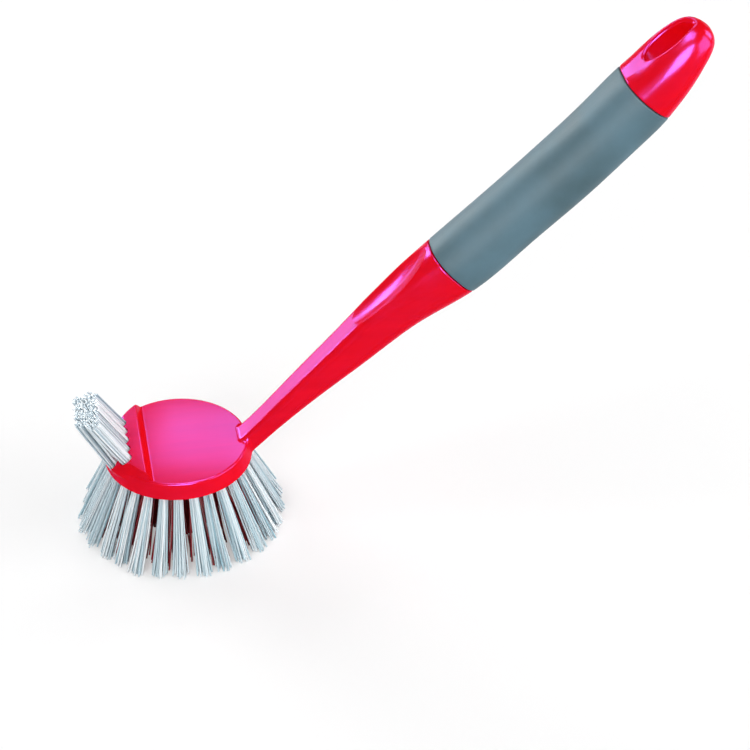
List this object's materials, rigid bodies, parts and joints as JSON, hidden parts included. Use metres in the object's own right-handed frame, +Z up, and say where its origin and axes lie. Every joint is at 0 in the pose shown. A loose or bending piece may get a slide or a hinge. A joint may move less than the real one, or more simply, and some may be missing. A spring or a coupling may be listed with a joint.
{
  "type": "dish brush",
  "caption": "Dish brush with a round red head, a flared skirt of grey bristles, a forward edge clump, a soft grey grip and a hanging eye.",
  "frame": {"origin": "on the head's axis, in the plane of the cut tips of the scrubbing bristles", "axes": "+Z up out of the head's flat top, +X from the head along the handle, +Y across the handle"},
  "size_m": [0.2322, 0.0788, 0.1936],
  "materials": {
    "red_polypropylene": "gloss",
    "grey_elastomer": "matte",
    "grey_filament": "satin",
    "red_filament": "satin",
    "anchor_steel": "brushed"
  },
  "bodies": {
    "brush": {"brush_body": "red_polypropylene", "grip_sleeve": "grey_elastomer", "ring_anchors": "anchor_steel", "edge_anchors": "anchor_steel"},
    "scrub_bristles": {"outer_tuft_01": "grey_filament", "outer_tuft_02": "grey_filament", "outer_tuft_03": "grey_filament", "outer_tuft_04": "grey_filament", "outer_tuft_05": "grey_filament", "outer_tuft_06": "grey_filament", "outer_tuft_07": "grey_filament", "outer_tuft_08": "grey_filament", "outer_tuft_09": "grey_filament", "outer_tuft_10": "grey_filament", "outer_tuft_11": "grey_filament", "outer_tuft_12": "grey_filament", "outer_tuft_13": "grey_filament", "outer_tuft_14": "grey_filament", "outer_tuft_15": "grey_filament", "outer_tuft_16": "grey_filament", "outer_tuft_17": "grey_filament", "outer_tuft_18": "grey_filament", "outer_tuft_19": "grey_filament", "outer_tuft_20": "grey_filament", "outer_tuft_21": "grey_filament", "outer_tuft_22": "grey_filament", "outer_tuft_23": "grey_filament", "outer_tuft_24": "grey_filament", "outer_tuft_25": "grey_filament", "outer_tuft_26": "grey_filament", "outer_tuft_27": "grey_filament", "outer_tuft_28": "grey_filament", "middle_tuft_01": "red_filament", "middle_tuft_02": "red_filament", "middle_tuft_03": "red_filament", "middle_tuft_04": "red_filament", "middle_tuft_05": "red_filament", "middle_tuft_06": "red_filament", "middle_tuft_07": "red_filament", "middle_tuft_08": "red_filament", "middle_tuft_09": "red_filament", "middle_tuft_10": "red_filament", "middle_tuft_11": "red_filament", "middle_tuft_12": "red_filament", "inner_tuft_01": "red_filament", "inner_tuft_02": "red_filament", "inner_tuft_03": "red_filament", "inner_tuft_04": "red_filament", "inner_tuft_05": "red_filament", "inner_tuft_06": "red_filament", "centre_tuft": "red_filament"},
    "edge_bristles": {"edge_tuft_01": "grey_filament", "edge_tuft_02": "grey_filament", "edge_tuft_03": "grey_filament", "edge_tuft_04": "grey_filament", "edge_tuft_05": "grey_filament", "edge_tuft_06": "grey_filament", "edge_tuft_07": "grey_filament", "edge_tuft_08": "grey_filament", "edge_tuft_09": "grey_filament"}
  },
  "joints": [
    {"name": "bristle_press", "type": "slide", "parent": "brush", "child": "scrub_bristles", "axis": [0, 0, 1], "range_m": [0, 0.004], "stiffness_N_per_m": 4000, "deforming": ["outer_tuft_01", "outer_tuft_02", "outer_tuft_03", "outer_tuft_04", "outer_tuft_05", "outer_tuft_06", "outer_tuft_07", "outer_tuft_08", "outer_tuft_09", "outer_tuft_10", "outer_tuft_11", "outer_tuft_12", "outer_tuft_13", "outer_tuft_14", "outer_tuft_15", "outer_tuft_16", "outer_tuft_17", "outer_tuft_18", "outer_tuft_19", "outer_tuft_20", "outer_tuft_21", "outer_tuft_22", "outer_tuft_23", "outer_tuft_24", "outer_tuft_25", "outer_tuft_26", "outer_tuft_27", "outer_tuft_28", "middle_tuft_01", "middle_tuft_02", "middle_tuft_03", "middle_tuft_04", "middle_tuft_05", "middle_tuft_06", "middle_tuft_07", "middle_tuft_08", "middle_tuft_09", "middle_tuft_10", "middle_tuft_11", "middle_tuft_12", "inner_tuft_01", "inner_tuft_02", "inner_tuft_03", "inner_tuft_04", "inner_tuft_05", "inner_tuft_06", "centre_tuft"]},
    {"name": "edge_flex", "type": "hinge", "parent": "brush", "child": "edge_bristles", "pos_m": [-0.0227, 0, 0.0355], "axis": [0, 1, 0], "range_deg": [-12, 12], "stiffness_Nm_per_rad": 0.4, "deforming": ["edge_tuft_01", "edge_tuft_02", "edge_tuft_03", "edge_tuft_04", "edge_tuft_05", "edge_tuft_06", "edge_tuft_07", "edge_tuft_08", "edge_tuft_09"]}
  ]
}
